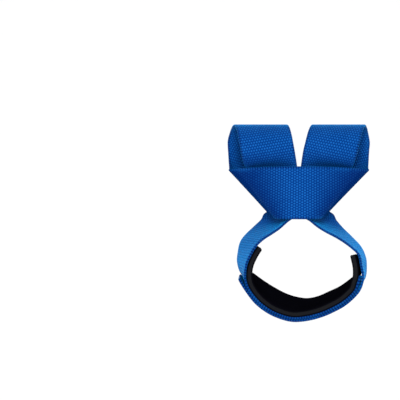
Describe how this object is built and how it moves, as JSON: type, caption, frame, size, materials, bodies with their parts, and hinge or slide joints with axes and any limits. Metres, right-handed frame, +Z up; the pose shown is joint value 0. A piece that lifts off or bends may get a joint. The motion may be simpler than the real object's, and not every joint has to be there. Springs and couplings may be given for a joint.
{
  "type": "weightlifting strap",
  "caption": "Flat woven lifting strap hitched as it hangs on a round bar, closed into a wrist loop with a foam pad lining its underside.",
  "frame": {"origin": "on the axis of the hitch's round opening, midway between its two turns", "axes": "+X along the opening's axis, towards the right-hand turn as seen from the front; -Y towards the front, where the panel crosses; +Z up, away from the wrist loop"},
  "size_m": [0.1023, 0.0404, 0.1411],
  "materials": {
    "webbing": "woven nylon, low sheen",
    "foam": "matte foam with a smooth skin"
  },
  "bodies": {
    "root": {"webbing": "webbing", "wrist_pad": "foam"}
  },
  "joints": []
}
